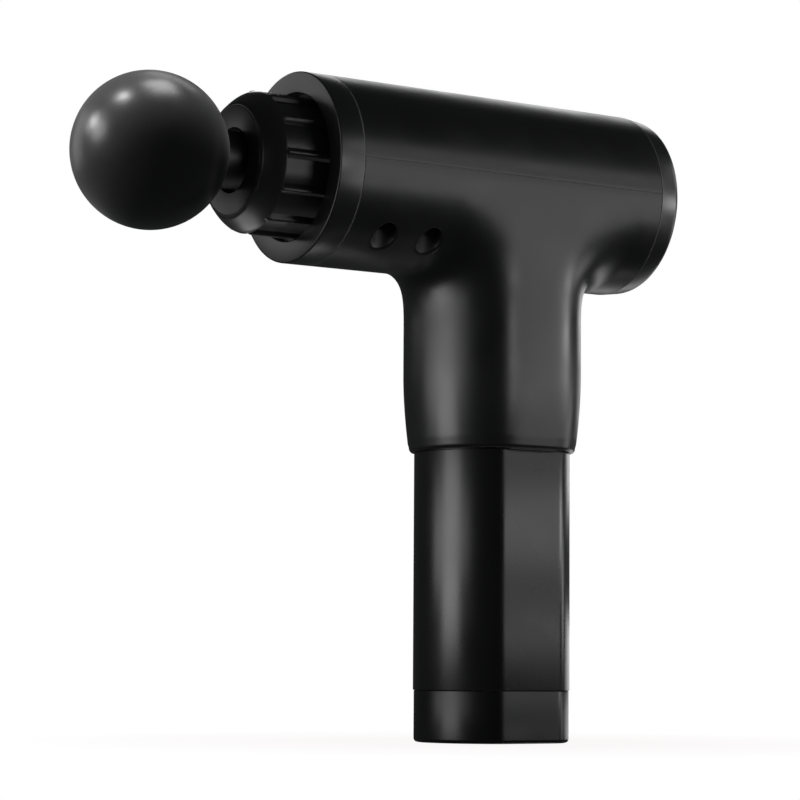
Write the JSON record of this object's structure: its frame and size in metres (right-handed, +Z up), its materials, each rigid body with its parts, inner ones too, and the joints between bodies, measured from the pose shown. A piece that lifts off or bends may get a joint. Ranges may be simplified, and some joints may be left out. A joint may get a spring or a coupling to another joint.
{
  "type": "massage gun",
  "caption": "Cordless percussion massage gun: ball head on a reciprocating piston, round barrel with a ribbed nose and a rear control panel, handle with a slide-out battery pack.",
  "frame": {"origin": "centre of the flat face at the foot of the battery pack, on the handle's axis", "axes": "+Z up along the handle, -X along the barrel towards the ball head, +X towards the rear control panel, Y across; the XZ plane is the mirror plane"},
  "size_m": [0.213, 0.062, 0.2155],
  "materials": {
    "shell_plastic": "satin",
    "nose_plastic": "gloss",
    "stem_plastic": "satin",
    "panel_gloss": "gloss",
    "button_plastic": "satin",
    "switch_plastic": "satin",
    "light_guide": "satin",
    "foam": "matte",
    "rubber": "matte",
    "aluminium": "satin",
    "steel": "satin",
    "bronze": "satin",
    "winding_copper": "satin",
    "circuit_board": "satin",
    "cell_wrap": "satin",
    "nylon": "satin"
  },
  "bodies": {
    "casing": {"upper_casing": "shell_plastic", "lower_casing": "shell_plastic", "casing_screw_1": "steel", "casing_screw_2": "steel", "casing_screw_3": "steel", "casing_screw_4": "steel", "front_ring": "shell_plastic", "rear_ring": "shell_plastic", "nose_collar": "nose_plastic", "nose_plate": "aluminium", "guide_bush": "bronze", "bush_damper": "rubber", "motor_plate": "aluminium", "motor_stator": "winding_copper", "motor_bearing_lower": "steel", "motor_bearing_upper": "steel", "plate_damper_front": "rubber", "plate_damper_rear": "rubber", "rear_panel": "panel_gloss", "led_ring": "light_guide", "control_board": "circuit_board", "button_switch": "steel", "driver_board": "circuit_board", "driver_capacitor": "cell_wrap", "battery_socket": "nylon", "socket_blade_1": "winding_copper", "socket_blade_2": "winding_copper", "battery_catch_front": "steel", "battery_catch_rear": "steel"},
    "crank": {"rotor_can": "aluminium", "magnet_ring": "steel", "motor_shaft": "steel", "crank_disc": "steel", "crank_pin": "steel", "pin_roller": "steel"},
    "ring": {"wear_ring": "nylon"},
    "piston": {"yoke": "aluminium", "piston": "aluminium", "yoke_screw_1": "steel", "yoke_screw_2": "steel"},
    "head": {"ball_head": "foam", "head_stem": "stem_plastic", "stem_o_ring_1": "rubber", "stem_o_ring_2": "rubber"},
    "pack": {"battery_shell": "shell_plastic", "bottom_cap": "shell_plastic", "cap_screw_1": "steel", "cap_screw_2": "steel", "cell_1": "cell_wrap", "cell_2": "cell_wrap", "cell_3": "cell_wrap", "cell_4": "cell_wrap", "cell_holder_lower": "nylon", "cell_holder_upper": "nylon", "battery_board": "circuit_board", "pack_lid": "shell_plastic", "switch_housing": "switch_plastic", "charging_jack": "switch_plastic"},
    "rocker": {"rocker_key": "switch_plastic"},
    "button": {"speed_button": "button_plastic"}
  },
  "joints": [
    {"name": "crank_spin", "type": "hinge", "parent": "casing", "child": "crank", "pos_m": [0, 0, 0.1845], "axis": [0, 0, 1], "continuous": true},
    {"name": "wear_ring_turn", "type": "hinge", "parent": "crank", "child": "ring", "pos_m": [0.0025, 0, 0.1845], "axis": [0, 0, 1], "continuous": true},
    {"name": "piston_stroke", "type": "hinge", "parent": "ring", "child": "piston", "pos_m": [0.005, 0, 0.1845], "axis": [0, 0, 1], "continuous": true},
    {"name": "head_release", "type": "slide", "parent": "piston", "child": "head", "axis": [-1, 0, 0], "range_m": [0, 0.045]},
    {"name": "battery_release", "type": "slide", "parent": "casing", "child": "pack", "axis": [0, 0, -1], "range_m": [0, 0.06]},
    {"name": "power_rocker", "type": "hinge", "parent": "pack", "child": "rocker", "pos_m": [0.0125, 0, 0.0046], "axis": [1, 0, 0], "range_deg": [0, 16]},
    {"name": "speed_press", "type": "slide", "parent": "casing", "child": "button", "axis": [-1, 0, 0], "range_m": [0, 0.0008], "stiffness_N_per_m": 600, "springref_m": -0.0006}
  ],
  "couplings": [
    {"joint": "wear_ring_turn", "follows": "crank_spin", "ratio": -2},
    {"joint": "piston_stroke", "follows": "crank_spin", "ratio": 1}
  ]
}
